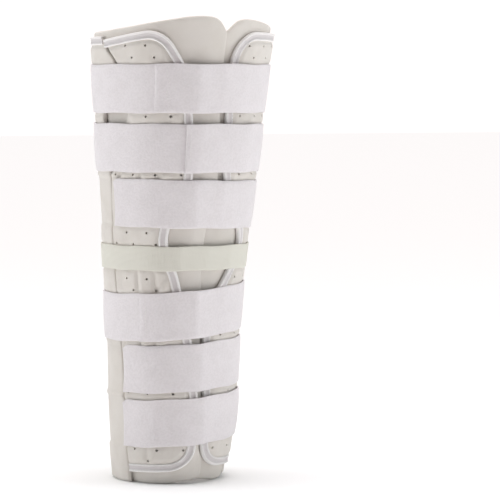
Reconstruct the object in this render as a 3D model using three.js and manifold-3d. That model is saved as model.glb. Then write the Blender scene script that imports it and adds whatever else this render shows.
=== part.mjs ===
import * as THREE from "three";
import { mergeVertices } from "three/addons/utils/BufferGeometryUtils.js";
import Module from "manifold-3d";

const wasm = await Module();
wasm.setup();
const { CrossSection, Manifold, Mesh } = wasm;

// A knee immobilizer closed round a leg, in millimetres: +Z up, the kneecap side faces -Y.
// Left and right are as seen from the front. The left side, which laps over the right one, is at -X.
// Angles run round the leg in degrees from the middle of the front, positive towards +X.

const FOAM_LAMINATE = { color: 0xece9e2, roughness: 0.85, metalness: 0 };
const TAPE = { color: 0xf2f0ec, roughness: 0.7, metalness: 0 };
const LOOP_PILE = { color: 0xeeebee, roughness: 0.95, metalness: 0 };
const ELASTIC = { color: 0xe9e9df, roughness: 0.85, metalness: 0 };

// Driving sizes.
const HEIGHT = 495;
const TOP_RADIUS = 90.5;
const LINER_THICKNESS = 5;
const PANEL_THICKNESS = 4;
const BOUND_EDGE_THICKNESS = 2;
const BINDING_WALL = 0.8;
const BINDING_WIDTH = 9;
const BINDING_CLEARANCE = 0.3;
const BINDING_LIP = BINDING_WALL + BINDING_CLEARANCE;
const LAYER_GAP = 0.5;
const STRAP_GAP = 0.4;
const STRAP_THICKNESS = 2;
const WIDE_STRAP = 51;
const ELASTIC_STRAP = 26;
const PANEL_CORNER = 30;
const CORNER_SEGMENTS = 28;
const OUTLINE_TOLERANCE = 0.12;
const HOLE_RADIUS = 1.1;
const HOLE_PITCH = 25;
const HOLE_ROW_PITCH = 12.2;
const HOLE_SHIFTS = [0.25, 0.62];
const RIGHT_FLAP_END = -25;
const LAP_START = -72;
const LAP_END = -34;
const LAP_RAMP = 22;
const VENT_TOP = 0.939;
const FACET_WIDTH = 10;
const OUTLINE_STEP = 13;
const EDGE_MARGIN = 4;
const LINER_COLUMNS = 66;
const STRAP_COLUMNS = 60;
const STRAP_LEVELS = 6;
const PATH_STEP = 2;

// The inner face of the liner at shares of the height: its radius as a share of the top radius.
const LEG = [
  { at: 0, radius: 0.562 },
  { at: 0.0705, radius: 0.61 },
  { at: 0.1616, radius: 0.651 },
  { at: 0.2724, radius: 0.667 },
  { at: 0.3942, radius: 0.697 },
  { at: 0.4952, radius: 0.737 },
  { at: 0.5962, radius: 0.785 },
  { at: 0.7071, radius: 0.84 },
  { at: 0.8178, radius: 0.885 },
  { at: 0.9089, radius: 0.932 },
  { at: 1, radius: 1 },
];

// Edges that run up the brace: the angle at shares of the height.
const FLAP_FRONT = [
  { at: 0, angle: 7.5 },
  { at: 0.05, angle: 7 },
  { at: 0.08, angle: 2.5 },
  { at: 0.2, angle: 0.5 },
  { at: 0.31, angle: -2 },
  { at: 0.44, angle: -2.5 },
  { at: 0.53, angle: -1.3 },
  { at: 0.66, angle: 6 },
  { at: 0.8, angle: 4 },
  { at: 1, angle: 3.5 },
];
const LEFT_FRONT = [
  { at: 0, angle: 0 },
  { at: 0.08, angle: -1.6 },
  { at: 0.2, angle: -2.6 },
  { at: 0.34, angle: -10.5 },
  { at: 0.426, angle: -18.5 },
  { at: 0.46, angle: -22 },
  { at: 0.5, angle: -28 },
  { at: 0.55, angle: -28.6 },
  { at: 0.6, angle: -20 },
  { at: 0.66, angle: -13.6 },
  { at: 0.79, angle: -15.2 },
  { at: 0.86, angle: -17 },
  { at: 0.9, angle: -21.8 },
  { at: 0.936, angle: -28 },
  { at: 1, angle: -40 },
];
const LEFT_REAR = [
  { at: 0, angle: -65 },
  { at: 0.075, angle: -68.5 },
  { at: 0.2, angle: -70.5 },
  { at: 0.31, angle: -74 },
  { at: 0.45, angle: -78.5 },
  { at: 0.55, angle: -80.5 },
  { at: 0.66, angle: -79.5 },
  { at: 0.72, angle: -70 },
  { at: 0.79, angle: -60.6 },
  { at: 0.85, angle: -62 },
  { at: 0.9, angle: -68 },
  { at: 0.94, angle: -78.5 },
  { at: 1, angle: -90 },
];
const RIGHT_FRONT = [
  { at: 0, angle: 3.5 },
  { at: 0.08, angle: 4.8 },
  { at: 0.2, angle: 4 },
  { at: 0.34, angle: 3 },
  { at: 0.4, angle: 9 },
  { at: 0.436, angle: 18.9 },
  { at: 0.458, angle: 24.6 },
  { at: 0.5, angle: 34 },
  { at: 0.53, angle: 36.5 },
  { at: 0.56, angle: 32 },
  { at: 0.6, angle: 20 },
  { at: 0.66, angle: 12 },
  { at: 0.79, angle: 9.3 },
  { at: 0.9, angle: 10 },
  { at: 1, angle: 9 },
];
const RIGHT_REAR = [
  { at: 0, angle: 78 },
  { at: 0.4, angle: 85 },
  { at: 1, angle: 85 },
];
const BACK_LEFT = [
  { at: 0, angle: 292.5 },
  { at: 0.075, angle: 289 },
  { at: 0.2, angle: 287 },
  { at: 0.31, angle: 283.6 },
  { at: 0.45, angle: 279 },
  { at: 0.55, angle: 277 },
  { at: 0.66, angle: 277.6 },
  { at: 0.72, angle: 275.5 },
  { at: 0.79, angle: 272 },
  { at: 0.85, angle: 278 },
  { at: 0.9, angle: 287.5 },
  { at: 0.94, angle: 278 },
  { at: 1, angle: 268 },
];
const BACK_RIGHT = [
  { at: 0, angle: 82 },
  { at: 0.4, angle: 89 },
  { at: 1, angle: 89 },
];

// The liner's top and bottom edges round the leg, from the end of the right flap to that of the left one.
// along is the angle, top and bottom are shares of the height.
const LINER_EDGES = [
  { along: -25, top: 0.93, bottom: 0.012 },
  { along: -5, top: 0.95, bottom: 0.01 },
  { along: 6, top: 0.97, bottom: 0.008 },
  { along: 13, top: 0.99, bottom: 0.007 },
  { along: 20, top: 0.995, bottom: 0.005 },
  { along: 30, top: 0.993, bottom: 0.0015 },
  { along: 40, top: 0.989, bottom: 0 },
  { along: 60, top: 0.981, bottom: 0 },
  { along: 80, top: 0.977, bottom: 0 },
  { along: 120, top: 0.971, bottom: 0 },
  { along: 180, top: 0.969, bottom: 0 },
  { along: 243, top: 0.969, bottom: 0 },
  { along: 276, top: 0.972, bottom: 0 },
  { along: 289, top: 0.976, bottom: 0 },
  { along: 303, top: 0.981, bottom: 0 },
  { along: 320, top: 0.989, bottom: 0 },
  { along: 332, top: 0.995, bottom: 0 },
  { along: 340, top: 0.999, bottom: 0.002 },
  { along: 350, top: 1, bottom: 0.006 },
  { along: 357, top: 0.995, bottom: 0.0075 },
  { along: 360.6, top: 0.984, bottom: 0.008 },
  { along: 364, top: 0.967, bottom: 0.012 },
  { along: 368.5, top: 0.95, bottom: 0.018 },
];

// The three panels: their edges at the lower and the higher angle, and how high each of those ends at the
// top and the bottom as shares of the height. The bound sides carry binding tape.
const PANELS = [
  {
    name: "left_panel",
    low: LEFT_REAR,
    high: LEFT_FRONT,
    middle: -50,
    top: { low: 0.953, high: 0.975 },
    bottom: { low: 0.0235, high: 0.031 },
    bound: ["high", "top", "bottom"],
    lapped: true,
    vented: true,
  },
  {
    name: "right_panel",
    low: RIGHT_FRONT,
    high: RIGHT_REAR,
    middle: 50,
    top: { low: 0.97, high: 0.966 },
    bottom: { low: 0.036, high: 0.029 },
    bound: ["low", "top", "bottom"],
    lapped: false,
    vented: true,
  },
  {
    name: "back_panel",
    low: BACK_RIGHT,
    high: BACK_LEFT,
    middle: 180,
    top: { low: 0.96, high: 0.96 },
    bottom: { low: 0, high: 0 },
    bound: ["top"],
    lapped: false,
    vented: false,
  },
];

// The straps: the middle at the front and its rise round to the left as shares of the height.
// start and end are angles. A strap that laps itself ends on top of its own start.
const STRAPS = [
  { name: "thigh_strap_top", at: 0.8495, rise: 0, width: WIDE_STRAP, start: -39, end: 372 },
  { name: "thigh_strap_middle", at: 0.7238, rise: 0.001, width: WIDE_STRAP, start: -19.5, end: 386 },
  { name: "thigh_strap_lower", at: 0.605, rise: 0.004, width: WIDE_STRAP, start: -75, end: 150 },
  { name: "knee_elastic_strap", at: 0.4902, rise: 0, width: ELASTIC_STRAP, start: -180, end: 180 },
  { name: "calf_strap_upper", at: 0.3714, rise: -0.011, width: WIDE_STRAP, start: -50, end: 350 },
  { name: "calf_strap_middle", at: 0.2566, rise: -0.007, width: WIDE_STRAP, start: -69.5, end: 150 },
  { name: "calf_strap_lower", at: 0.1398, rise: -0.008, width: WIDE_STRAP, start: -70, end: 150 },
];

const RADIANS = Math.PI / 180;
const knots = LEG.map(({ at }) => at * HEIGHT);

// A straight run between the rows of a table.
function ramp(rows, key, value, x) {
  let i = 0;
  while (i < rows.length - 2 && x > rows[i + 1][key]) i += 1;
  const [a, b] = [rows[i], rows[i + 1]];
  return a[value] + ((b[value] - a[value]) * (x - a[key])) / (b[key] - a[key]);
}

// A smooth run through the rows of a table, held at its ends.
function smooth(rows, key, value, x) {
  const last = rows.length - 1;
  const t = Math.min(Math.max(x, rows[0][key]), rows[last][key]);
  let i = 0;
  while (i < last - 1 && t > rows[i + 1][key]) i += 1;
  const slope = (j) => {
    const [a, b] = [rows[Math.max(j - 1, 0)], rows[Math.min(j + 1, last)]];
    return (b[value] - a[value]) / (b[key] - a[key]);
  };
  const [a, b] = [rows[i], rows[i + 1]];
  const span = b[key] - a[key];
  const u = (t - a[key]) / span;
  const bend = (slope(i) * span * (1 - u) - slope(i + 1) * span * u) * u * (1 - u);
  const turn = (b[value] - a[value]) * (1 - 2 * u) * u * (1 - u);
  return a[value] + (b[value] - a[value]) * u + bend - turn;
}

const legRadius = (z) => TOP_RADIUS * ramp(LEG, "at", "radius", z / HEIGHT);
const edgeAngle = (edge, z) => smooth(edge, "at", "angle", z / HEIGHT);

// A place on the brace: the back line is straight, so the middle moves forward as the leg widens.
function place(angle, z, offset) {
  const radius = legRadius(z) + offset;
  const a = angle * RADIANS;
  return [radius * Math.sin(a), TOP_RADIUS - legRadius(z) - radius * Math.cos(a), z];
}

// How far the left flap is lifted where it lies on the right one.
function lapLift(angle) {
  const t = Math.min(Math.max((angle - LAP_START) / (LAP_END - LAP_START), 0), 1);
  return (LINER_THICKNESS + LAYER_GAP) * t * t * (3 - 2 * t);
}

function meshOf(name, geometry, look) {
  geometry.computeVertexNormals();
  const mesh = new THREE.Mesh(geometry, new THREE.MeshStandardMaterial(look));
  mesh.name = name;
  return mesh;
}

// A solid between two faces that share flat triangles, walled along every open edge.
// face(i, side) gives the place of point i on the inner (0) or outer (1) face.
function solidSheet(count, triangles, face) {
  const positions = [];
  for (const side of [0, 1]) {
    for (let i = 0; i < count; i += 1) positions.push(...face(i, side));
  }
  const used = new Map();
  const key = (a, b) => a * count + b;
  for (const [a, b, c] of triangles) {
    for (const [p, q] of [
      [a, b],
      [b, c],
      [c, a],
    ]) {
      used.set(key(p, q), [p, q]);
    }
  }
  const index = [];
  for (const [a, b, c] of triangles) {
    index.push(a + count, b + count, c + count, a, c, b);
  }
  for (const [p, q] of used.values()) {
    if (!used.has(key(q, p))) {
      index.push(p + count, p, q + count, q + count, p, q);
    }
  }
  const geometry = new THREE.BufferGeometry();
  geometry.setAttribute("position", new THREE.Float32BufferAttribute(positions, 3));
  geometry.setIndex(index);
  return geometry;
}

// A sheet laid out as a plain grid: columns run round the leg, rows run up it.
function gridSheet(columns, rows, closed, face) {
  const across = closed ? columns : columns + 1;
  const triangles = [];
  const id = (i, j) => (i % across) + j * across;
  for (let j = 0; j < rows; j += 1) {
    for (let i = 0; i < columns; i += 1) {
      triangles.push([id(i, j), id(i + 1, j), id(i + 1, j + 1)]);
      triangles.push([id(i, j), id(i + 1, j + 1), id(i, j + 1)]);
    }
  }
  return solidSheet(across * (rows + 1), triangles, (n, side) => {
    return face(n % across, Math.floor(n / across), side);
  });
}

function solidOf(geometry) {
  const bare = geometry.clone();
  bare.deleteAttribute("normal");
  bare.deleteAttribute("uv");
  const merged = mergeVertices(bare, 1e-4);
  return new Manifold(
    new Mesh({
      numProp: 3,
      vertProperties: merged.attributes.position.array,
      triVerts: new Uint32Array(merged.index.array),
    }),
  );
}

function geometryOf(solid) {
  const { vertProperties, triVerts } = solid.getMesh();
  const geometry = new THREE.BufferGeometry();
  geometry.setAttribute("position", new THREE.BufferAttribute(vertProperties, 3));
  geometry.setIndex(new THREE.BufferAttribute(triVerts, 1));
  return geometry;
}

// The liner: one sheet whose left flap laps over its right one.
function liner() {
  const end = (z) => 360 + edgeAngle(FLAP_FRONT, z);
  const rows = LEG.length - 1;
  return gridSheet(LINER_COLUMNS, rows, false, (i, j, side) => {
    const share = i / LINER_COLUMNS;
    const near = RIGHT_FLAP_END + (end(knots[j]) - RIGHT_FLAP_END) * share;
    const top = HEIGHT * smooth(LINER_EDGES, "along", "top", near);
    const bottom = HEIGHT * Math.max(smooth(LINER_EDGES, "along", "bottom", near), 0);
    const z = j === 0 ? bottom : j === rows ? top : knots[j];
    const angle = RIGHT_FLAP_END + (end(z) - RIGHT_FLAP_END) * share;
    return place(angle, z, lapLift(angle - 360) + side * LINER_THICKNESS);
  });
}

const PANEL_BASE = LINER_THICKNESS + LAYER_GAP;
const BINDING_HEIGHT = BOUND_EDGE_THICKNESS + 2 * BINDING_LIP;
const REACH = 3 * PANEL_CORNER;
const SIDES = ["low", "high", "top", "bottom"];

const onLeg = (z) => Math.min(Math.max(z, 0), HEIGHT);
const flatRadius = (z) => legRadius(onLeg(z)) + PANEL_BASE + PANEL_THICKNESS / 2;
const angleAt = (panel, x, z) => panel.middle + x / flatRadius(z) / RADIANS;
const upright = (z) => flatRadius(HEIGHT / 2) / flatRadius(z);

// A panel laid flat, with the named sides pushed out of the way.
function flatOutline(panel, pushed) {
  const push = (side) => (pushed.includes(side) ? REACH : 0);
  const run = (side, outwards) => {
    const low = panel.bottom[side] * HEIGHT - push("bottom");
    const high = panel.top[side] * HEIGHT + push("top");
    const steps = Math.round((high - low) / OUTLINE_STEP);
    return Array.from({ length: steps + 1 }, (_, i) => {
      const z = low + ((high - low) * i) / steps;
      const angle = edgeAngle(panel[side], onLeg(z)) - panel.middle;
      return [angle * RADIANS * flatRadius(z) + outwards * push(side), z];
    });
  };
  return new CrossSection([[...run("high", 1), ...run("low", -1).reverse()]]);
}

const inset = (shape, distance) => shape.offset(-distance, "Miter", 4).simplify(0.05);

// How far a flat point lies inside an outline.
function depthIn(contours, x, z) {
  let least = Infinity;
  for (const contour of contours) {
    contour.forEach(([ax, az], i) => {
      const [bx, bz] = contour[(i + 1) % contour.length];
      const [dx, dz] = [bx - ax, bz - az];
      const t = ((x - ax) * dx + (z - az) * dz) / (dx * dx + dz * dz);
      const u = Math.min(Math.max(t, 0), 1);
      least = Math.min(least, Math.hypot(x - ax - u * dx, z - az - u * dz));
    });
  }
  return least;
}

// Flat triangles that fill some regions, cut on lines of one angle and where the leg's slope changes.
function flatTriangles(regions) {
  const points = [];
  const cells = new Map();
  const triangles = [];
  const weld = ([x, z]) => {
    const [cx, cz] = [Math.floor(x * 500), Math.floor(z * 500)];
    for (let i = cx - 1; i <= cx + 1; i += 1) {
      for (let j = cz - 1; j <= cz + 1; j += 1) {
        const near = cells.get(i + ":" + j);
        if (near !== undefined) return near;
      }
    }
    cells.set(cx + ":" + cz, points.length);
    points.push([x, z]);
    return points.length - 1;
  };
  const levels = [-REACH, ...knots.slice(1, -1), HEIGHT + REACH];
  for (const flat of regions) {
    const region = flat.warp((point) => {
      point[0] *= upright(point[1]);
    });
    const { min, max } = region.bounds();
    for (let x = Math.floor(min[0] / FACET_WIDTH) * FACET_WIDTH; x < max[0]; x += FACET_WIDTH) {
      for (let j = 0; j < levels.length - 1; j += 1) {
        const size = [FACET_WIDTH, levels[j + 1] - levels[j]];
        const cell = CrossSection.square(size).translate(x, levels[j]);
        for (const part of region.intersect(cell).decompose()) {
          const contours = part.toPolygons().sort((a, b) => area(b) - area(a));
          if (!contours.length || area(contours[0]) < 1e-3) continue;
          const loops = contours.map((loop) => loop.map(([u, v]) => new THREE.Vector2(u, v)));
          const ids = loops.flat().map(({ x: u, y: v }) => weld([u, v]));
          for (const [a, b, c] of THREE.ShapeUtils.triangulateShape(loops[0], loops.slice(1))) {
            const corners = [ids[a], ids[b], ids[c]];
            if (new Set(corners).size === 3) triangles.push(corners);
          }
        }
      }
    }
  }
  return { points: points.map(([x, z]) => [x / upright(z), z]), triangles };
}

function area(loop) {
  return Math.abs(THREE.ShapeUtils.area(loop.map(([x, y]) => new THREE.Vector2(x, y))));
}

// Flat regions of a panel stood up round the leg. level(x, z, side) is the height over the panel's seat.
function standing(panel, regions, level) {
  const { points, triangles } = flatTriangles(regions);
  return solidSheet(points.length, triangles, (i, side) => {
    const [x, z] = points[i];
    const angle = angleAt(panel, x, z);
    const lift = panel.lapped ? lapLift(angle) : 0;
    return place(angle, z, PANEL_BASE + lift + level(x, z, side));
  });
}

// Where the middle of a strap runs at an angle round the leg.
const strapLevel = (strap, angle) => HEIGHT * (strap.at - strap.rise * Math.sin(angle * RADIANS));

function coveredByStrap(angle, z) {
  return STRAPS.some((strap) => {
    const away = Math.abs(z - strapLevel(strap, angle));
    return away < strap.width / 2 + HOLE_RADIUS;
  });
}

// Staggered rows of small holes, cut where no strap covers the panel.
function ventHoles(panel, core) {
  const holes = [];
  const room = inset(core, 2 * HOLE_RADIUS);
  for (let row = 0; VENT_TOP * HEIGHT > row * HOLE_ROW_PITCH; row += 1) {
    const z = VENT_TOP * HEIGHT - row * HOLE_ROW_PITCH;
    for (let k = -5; k <= 5; k += 1) {
      const x = HOLE_PITCH * (k + HOLE_SHIFTS[row % 2]);
      const hole = CrossSection.circle(HOLE_RADIUS, 6).translate(x, z);
      if (!coveredByStrap(angleAt(panel, x, z), z) && hole.subtract(room).isEmpty()) {
        holes.push(hole);
      }
    }
  }
  return holes;
}

// One panel of foam laminate, its bound edges pinched thin, and the tape folded over those edges.
function panelWithBinding(panel) {
  const unbound = SIDES.filter((side) => !panel.bound.includes(side));
  const edge = flatOutline(panel, unbound)
    .offset(-PANEL_CORNER, "Round", 2, CORNER_SEGMENTS)
    .offset(PANEL_CORNER, "Round", 2, CORNER_SEGMENTS)
    .simplify(OUTLINE_TOLERANCE);
  const cut = flatOutline(panel, panel.bound);
  const contours = edge.toPolygons();
  const pinchEnd = BINDING_WIDTH + 2 * BINDING_CLEARANCE;
  const fullStart = pinchEnd + PANEL_THICKNESS;
  const panelLevel = (x, z, side) => {
    const depth = depthIn(contours, x, z);
    const t = Math.min(Math.max((depth - pinchEnd) / (fullStart - pinchEnd), 0), 1);
    const thickness = BOUND_EDGE_THICKNESS + (PANEL_THICKNESS - BOUND_EDGE_THICKNESS) * t;
    return BINDING_LIP * (1 - t) + side * thickness;
  };
  const [outer, pinch, full] = [BINDING_LIP, pinchEnd, fullStart].map((d) => inset(edge, d));
  const core = full.intersect(cut);
  const holes = panel.vented ? ventHoles(panel, core) : [];
  const regions = [
    outer.subtract(pinch).intersect(cut),
    pinch.subtract(full).intersect(cut),
    holes.reduce((shape, hole) => shape.subtract(hole), core),
  ];
  const body = standing(panel, regions, panelLevel);

  const band = edge.subtract(inset(edge, BINDING_WIDTH)).intersect(cut);
  const channel = inset(edge, BINDING_WALL).subtract(inset(edge, fullStart));
  const open = flatOutline(panel, SIDES);
  const tape = solidOf(standing(panel, [band], (x, z, side) => side * BINDING_HEIGHT));
  const slot = solidOf(
    standing(panel, [channel.intersect(open)], (x, z, side) => {
      return side ? BINDING_HEIGHT - BINDING_WALL : BINDING_WALL;
    }),
  );
  return [
    meshOf(panel.name, body, FOAM_LAMINATE),
    meshOf(panel.name + "_binding", geometryOf(tape.subtract(slot)), TAPE),
  ];
}

// How far out the layers under the straps reach at an angle and height.
function layersUnder(angle, z) {
  const turn = ((((angle + 180) % 360) + 360) % 360) - 180;
  const onLap = turn > LAP_START && turn < edgeAngle(FLAP_FRONT, z) + EDGE_MARGIN;
  let reach = LINER_THICKNESS + (onLap ? lapLift(turn) : 0);
  for (const panel of PANELS) {
    const off = ((((turn - panel.middle + 180) % 360) + 360) % 360) - 180 + panel.middle;
    const [low, high] = [edgeAngle(panel.low, z), edgeAngle(panel.high, z)];
    if (off > low - EDGE_MARGIN && off < high + EDGE_MARGIN) {
      reach = Math.max(reach, PANEL_BASE + BINDING_HEIGHT + (panel.lapped ? lapLift(off) : 0));
    }
  }
  return reach;
}

// The taut path of a strap over the layers: its distance from the leg at any angle.
function tautPath(strap) {
  const middle = HEIGHT * strap.at;
  const points = [];
  for (let angle = -180; angle < 180; angle += PATH_STEP) {
    const half = strap.width / 2;
    const level = strapLevel(strap, angle);
    let reach = 0;
    for (let i = 0; i <= STRAP_LEVELS; i += 1) {
      const t = i / STRAP_LEVELS;
      const z = level + half * (2 * t - 1);
      const chord = legRadius(level - half) * (1 - t) + legRadius(level + half) * t;
      const bulge = (legRadius(z) - chord) * (1 + Math.cos(angle * RADIANS));
      reach = Math.max(reach, bulge + layersUnder(angle, z));
    }
    const radius = legRadius(middle) + reach;
    points.push([radius * Math.cos(angle * RADIANS), radius * Math.sin(angle * RADIANS)]);
  }
  const [hull] = CrossSection.hull([points]).toPolygons();
  return (angle) => {
    const [ux, uy] = [Math.cos(angle * RADIANS), Math.sin(angle * RADIANS)];
    let radius = 0;
    hull.forEach(([ax, ay], i) => {
      const [bx, by] = hull[(i + 1) % hull.length];
      const cross = ux * (by - ay) - uy * (bx - ax);
      if (cross > 0) radius = Math.max(radius, onEdge(ax, ay, bx, by, ux, uy, cross));
    });
    return radius - legRadius(middle) + STRAP_GAP;
  };
}

// Where a ray from the middle meets one edge of a hull, or 0 if it passes beside it.
function onEdge(ax, ay, bx, by, ux, uy, cross) {
  const along = (ay * ux - ax * uy) / -cross;
  return along > -1e-6 && along < 1 + 1e-6 ? (ax * (by - ay) - ay * (bx - ax)) / cross : 0;
}

function strapBand(strap) {
  const path = tautPath(strap);
  const turn = strap.end - strap.start;
  const closed = turn === 360;
  const lapEnd = strap.end - 360 + PATH_STEP;
  const columns = Math.round((STRAP_COLUMNS * turn) / 360);
  const lapOver = (angle) => {
    const t = Math.min(Math.max((angle - lapEnd) / LAP_RAMP, 0), 1);
    return turn > 360 ? (STRAP_THICKNESS + STRAP_GAP) * (1 - t * t * (3 - 2 * t)) : 0;
  };
  const band = gridSheet(columns, 1, closed, (i, j, side) => {
    const angle = strap.start + (turn * i) / columns;
    const z = strapLevel(strap, angle) + (j - 0.5) * strap.width;
    return place(angle, z, path(angle) + lapOver(angle) + side * STRAP_THICKNESS);
  });
  return meshOf(strap.name, band, strap.width === ELASTIC_STRAP ? ELASTIC : LOOP_PILE);
}

const brace = new THREE.Group();
brace.add(meshOf("liner", liner(), FOAM_LAMINATE));
for (const panel of PANELS) brace.add(...panelWithBinding(panel));
for (const strap of STRAPS) brace.add(strapBand(strap));

// The base stands on z = 0 with the middle of the whole brace over the origin.
const box = new THREE.Box3().setFromObject(brace);
const middle = box.getCenter(new THREE.Vector3());
brace.position.set(-middle.x, -middle.y, -box.min.z);

export default brace;
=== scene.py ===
"""A knee immobilizer of foam laminate panels, binding tape, loop straps and a knit elastic, in metres."""

import math
from collections import namedtuple

import bpy
import numpy as np
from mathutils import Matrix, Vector


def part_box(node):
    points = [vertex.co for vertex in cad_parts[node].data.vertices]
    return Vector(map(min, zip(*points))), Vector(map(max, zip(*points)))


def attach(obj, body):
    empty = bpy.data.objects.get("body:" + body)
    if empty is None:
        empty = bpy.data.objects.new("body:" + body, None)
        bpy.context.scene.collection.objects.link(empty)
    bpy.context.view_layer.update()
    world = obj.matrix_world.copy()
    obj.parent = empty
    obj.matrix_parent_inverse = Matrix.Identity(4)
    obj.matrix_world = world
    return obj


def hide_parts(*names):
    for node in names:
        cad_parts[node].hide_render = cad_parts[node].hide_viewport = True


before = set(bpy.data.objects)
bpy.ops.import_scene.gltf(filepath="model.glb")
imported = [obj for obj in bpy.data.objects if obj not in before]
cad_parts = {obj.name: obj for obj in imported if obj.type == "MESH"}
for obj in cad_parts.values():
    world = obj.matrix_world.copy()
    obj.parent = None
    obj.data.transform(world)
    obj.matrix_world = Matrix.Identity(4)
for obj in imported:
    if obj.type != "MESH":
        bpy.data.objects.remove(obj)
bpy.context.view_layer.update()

bl_info = {
    "name": "Knee immobilizer",
    "version": (1, 0, 0),
    "blender": (4, 5, 0),
    "location": "View3D > Sidebar > Brace",
    "description": "Dresses the knee immobilizer in cloth, tape, straps and stitches",
    "category": "Object",
}

MM = 0.001
CLOTH_PREFIX = "dressed_"
CLOTH_LAYER = "cloth"

# The brace and its layers from the inside out, with the gaps between them
HEIGHT = 0.495
TOP_RADIUS = 0.0905
LINER = 0.005
LAYER_GAP = 0.0005
SEAT = LINER + LAYER_GAP
PANEL = 0.004
STRAP_GAP = 0.0004
STRAP = 0.002
BACK_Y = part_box("liner")[1][1] - LINER

# The liner: its right flap's end, its whole turn and its left flap's climb, in degrees; then its
# ripples, the waves of its sagging rim as (depth, waves round, shift), and its flap's thinned edge
RIGHT_FLAP_END = -25
LINER_TURN = 391
LAP_START, LAP_END = -72, -34
LINER_STEP, LINER_ROW = 0.0035, 0.004
LINER_CLOTH_RADIUS = 0.08
RIPPLE, RIPPLE_LIMIT, RIPPLE_FADE = 0.00045, 0.0003, 0.01
RIPPLE_END, RIPPLE_FULL = 0.24, 0.2
SAG_START = 0.435
SAGS = ((0.0008, 3, 40), (0.0006, 5, 200))
FLAP_THINNING, FLAP_THIN, FLAP_FULL = 0.5, 0.002, 0.014

# The panels: their free edges, their round corners and the foam pinched flat under the binding
FREE_EDGE = 0.0012
CORNER = 0.030
BOUND_EDGE = 0.0042
EDGE_INSET = 0.0012
PINCHED, PINCH_LIFT = 0.002, 0.0011
PINCH_END, FULL_START = 0.0088, 0.0135
THINNEST = 0.0004
GATHER, GATHER_REACH, UNEVEN = 0.0005, 0.006, 0.00035
SWELL_SPAN, GATHER_SPAN, FOLD_SPAN = (-0.0004, 0.0026), (-0.002, 0.001), (-0.002, 0.0015)
PANEL_ROWS, PANEL_STEP = 190, 0.0023
FRONT_MARKS, FRONT_ROWS, CORNER_MARKS, CORNER_ROWS, END_MARKS = 900, 180, 200, 15, 60
FOLD_WIDTH, BANK_SHARE, BANK_PLACE, BANK_WIDTH = 0.0022, 0.6, 0.006, 0.004

# The air holes: two rows by turns, and how far they keep from edges and from the straps
HOLE_PITCH, HOLE_ROWS = 0.025, 0.0122
HOLE_SHIFTS = (0.25, 0.62)
HOLE_COLUMNS = range(-6, 7)
HOLE_SIDES = 10
VENT_TOP, VENT_FOOT = 0.939, 0.02
SIDE_CLEAR, BOUND_CLEAR, UNDER_STRAP = 0.004, 0.0108, 0.003
PUNCH_FROM, PUNCH_TO = -0.0015, PANEL + 0.004

# The binding tape: its flat width, and its ribbed band measured round the tape from the inner edge
TAPE_STEP = 0.0022
TAPE_BAND_MIDDLE, TAPE_BAND, TAPE_BAND_FADE = 0.0054, 0.0046, 0.0004
ROLL_LEVEL = 0.0038
ROLL_WOBBLES = ((0.00018, 210, 0), (0.00012, 530, 1))

# The stitches: thread, how far they rise and dip, the gaps between them and their rows on the binding
THREAD = 0.00032
STITCH_RISE, STITCH_DIP = 0.0002, 0.00045
STITCH_RINGS, STITCH_SIDES = 5, 6
BINDING_STITCH_GAP, SEAM_STITCH_GAP = 0.0011, 0.0008
STITCH_ROWS = (0.0019, 0.0079)
STITCH_LEVEL = 0.0048
STITCH_AHEAD, STITCH_OUT = 0.0004, 0.001
SEAM_RISE = 0.0003
STITCH_END = 0.003

# The straps: widths, how they pass an edge and climb on their own start, their soft form, the marks
# from which their taut path is drawn, and how far the corners of three ends are clipped
WIDE, NARROW = 0.051, 0.026
EDGE_MARGIN = 4
LAP_TURN, LAP_RAMP = 358, 22
STRAP_STEP = 0.003
STRAP_MIDDLE = 0.01
CROWN, CROWN_LIMIT = 0.0007, 0.0002
EDGE_WAVE, WAVES_ROUND = 0.0004, 9
WANDER_TURN = 14
CORNER_LIFT, CORNER_REACH = 0.0016, 0.007
END_LIFT, END_REACH = 0.0005, 0.004
PATH_LINES, PATH_TURN, FINE_TURN, SOFT_REACH = 7, 2, 0.5, 8
CLIPPED = 0.0045
CLIPPED_STRAPS = ("thigh_strap_lower", "calf_strap_middle", "calf_strap_lower")

# Rows are (share of the height, share of the top radius).
INNER_FACE = (
    (0, 0.562), (0.0705, 0.61), (0.1616, 0.651), (0.2724, 0.667), (0.3942, 0.697), (0.4952, 0.737),
    (0.5962, 0.785), (0.7071, 0.84), (0.8178, 0.885), (0.9089, 0.932), (1, 1),
)
# Rows are (share of the height, angle in degrees from the middle of the front).
FLAP_FRONT = (
    (0, 8.3), (0.05, 7.8), (0.08, 3.5), (0.2, 2.4), (0.31, 0.4), (0.44, -1), (0.53, -0.5), (0.66, 6.8),
    (0.8, 4.8), (1, 4.3),
)
LEFT_FRONT = (
    (0, 0), (0.08, -1.6), (0.2, -2.6), (0.34, -10.5), (0.426, -18.5), (0.46, -22), (0.5, -28),
    (0.55, -28.6), (0.6, -20), (0.66, -13.6), (0.79, -15.2), (0.86, -17), (0.9, -21.8), (0.936, -28),
    (1, -40),
)
LEFT_REAR = (
    (0, -65), (0.075, -68.5), (0.2, -70.5), (0.31, -74), (0.45, -78.5), (0.55, -80.5), (0.66, -79.5),
    (0.72, -70), (0.79, -60.6), (0.85, -62), (0.9, -68), (0.94, -78.5), (1, -90),
)
RIGHT_FRONT = (
    (0, 3.5), (0.08, 4.8), (0.2, 4), (0.34, 3), (0.4, 9), (0.436, 18.9), (0.458, 24.6), (0.5, 34),
    (0.53, 36.5), (0.56, 32), (0.6, 20), (0.66, 12), (0.79, 9.3), (0.9, 10), (1, 9),
)
RIGHT_REAR = ((0, 78), (0.4, 85), (1, 85))
BACK_RIGHT = ((0, 82), (0.4, 89), (1, 89))
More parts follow.
